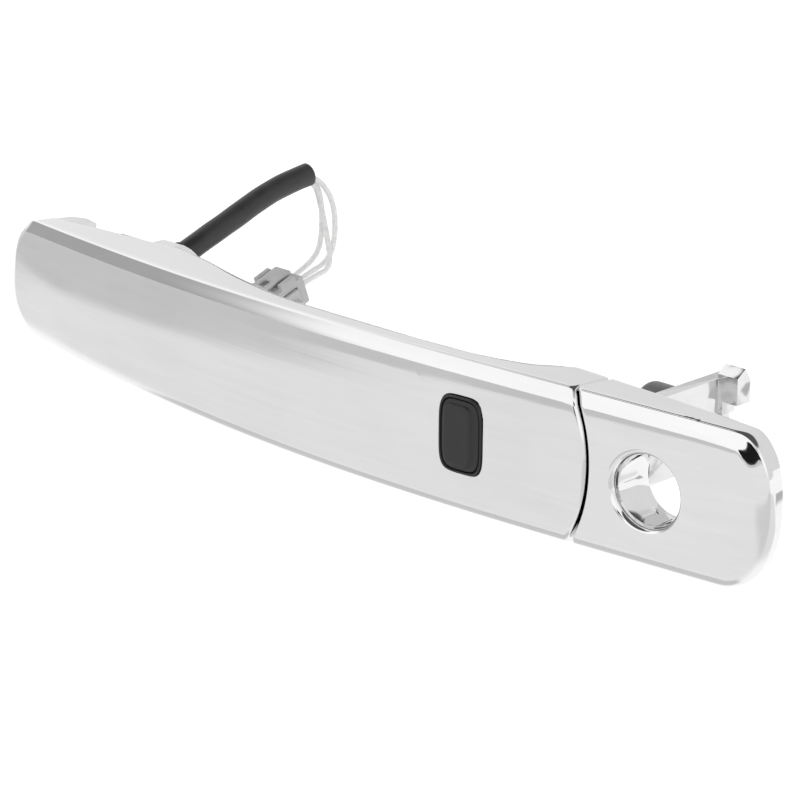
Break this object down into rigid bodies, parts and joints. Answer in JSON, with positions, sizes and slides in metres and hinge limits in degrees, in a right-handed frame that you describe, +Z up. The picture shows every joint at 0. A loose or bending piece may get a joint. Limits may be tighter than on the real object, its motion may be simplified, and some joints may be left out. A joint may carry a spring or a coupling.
{
  "type": "car door handle",
  "caption": "Chrome-plated car door pull handle with a request button, a wired plug and a separate key cover with a hook arm.",
  "frame": {"origin": "on the key cylinder hole's axis, in the plane of the door skin (the rear rim of the cap)", "axes": "+Y along the key cylinder hole, into the door; +X along the handle from the hinge end to the cap's free end; +Z up"},
  "size_m": [0.242, 0.0742, 0.0447],
  "materials": {
    "grip_chrome": "bright chrome plating on moulded plastic, polished",
    "cap_chrome": "bright chrome plating on moulded plastic, polished",
    "frame_plating": "bright plating over a moulded frame",
    "base_plastic": "light grey moulded plastic, fine texture",
    "screw_steel": "zinc plated",
    "gasket_rubber": "soft closed-cell seal",
    "grommet_rubber": "moulded rubber",
    "sleeve_tube": "soft vinyl tube, satin",
    "wire_insulation": "thin smooth insulation",
    "plug_plastic": "light grey moulded plastic",
    "plug_lever_plastic": "light grey moulded plastic",
    "retainer_plastic": "light grey moulded plastic",
    "terminal_brass": "stamped, tin washed",
    "bezel_plastic": "black, fine texture",
    "button_rubber": "satin black, soft touch",
    "seal_rubber": "thin diaphragm",
    "switch_plastic": "moulded case",
    "plunger_plastic": "moulded pin",
    "board": "green lacquered board",
    "bobbin_plastic": "moulded bobbin",
    "ferrite": "pressed ferrite",
    "copper_wire": "enamelled copper winding",
    "lead_insulation": "thin smooth insulation",
    "arm_plastic": "dark grey glass-filled plastic"
  },
  "bodies": {
    "cap": {"cap_cover": "cap_chrome", "cap_frame": "frame_plating", "cap_gasket": "gasket_rubber"},
    "grip": {"grip_cover": "grip_chrome", "grip_base": "base_plastic", "cover_screws": "screw_steel", "foot_gasket": "gasket_rubber", "cable_grommet": "grommet_rubber", "harness_sleeve": "sleeve_tube", "harness_wire_a": "wire_insulation", "harness_wire_b": "wire_insulation", "harness_wire_c": "wire_insulation", "connector_housing": "plug_plastic", "connector_retainer": "retainer_plastic", "connector_terminals": "terminal_brass", "switch_bezel": "bezel_plastic", "switch_seal": "seal_rubber", "switch_housing": "switch_plastic", "circuit_board": "board", "antenna_bobbin": "bobbin_plastic", "antenna_core": "ferrite", "antenna_coil": "copper_wire", "inner_leads": "lead_insulation", "pull_arm": "arm_plastic", "arm_screws": "screw_steel"},
    "request_button": {"switch_button": "button_rubber"},
    "switch_plunger_body": {"switch_plunger": "plunger_plastic"},
    "plug_lever": {"connector_lock_lever": "plug_lever_plastic"}
  },
  "joints": [
    {"name": "grip_swing", "type": "hinge", "parent": "cap", "child": "grip", "pos_m": [-0.2067, 0.0095, 0.0027], "axis": [0, 0, -1], "range_deg": [0, 10], "stiffness_Nm_per_rad": 2, "springref_deg": -22.92},
    {"name": "button_press", "type": "slide", "parent": "grip", "child": "request_button", "axis": [-0.0969, 0.9953, 0], "range_m": [0, 0.0008], "stiffness_N_per_m": 3000, "springref_m": -0.0002},
    {"name": "plunger_press", "type": "slide", "parent": "grip", "child": "switch_plunger_body", "axis": [-0.0969, 0.9953, 0], "range_m": [0, 0.0008]},
    {"name": "plug_lever_press", "type": "hinge", "parent": "grip", "child": "plug_lever", "pos_m": [-0.1545, 0.03301, 0.00535], "axis": [1, 0, 0], "range_deg": [0, 4], "stiffness_Nm_per_rad": 0.5, "springref_deg": -1.15}
  ],
  "couplings": [
    {"joint": "plunger_press", "follows": "button_press", "ratio": 1}
  ]
}
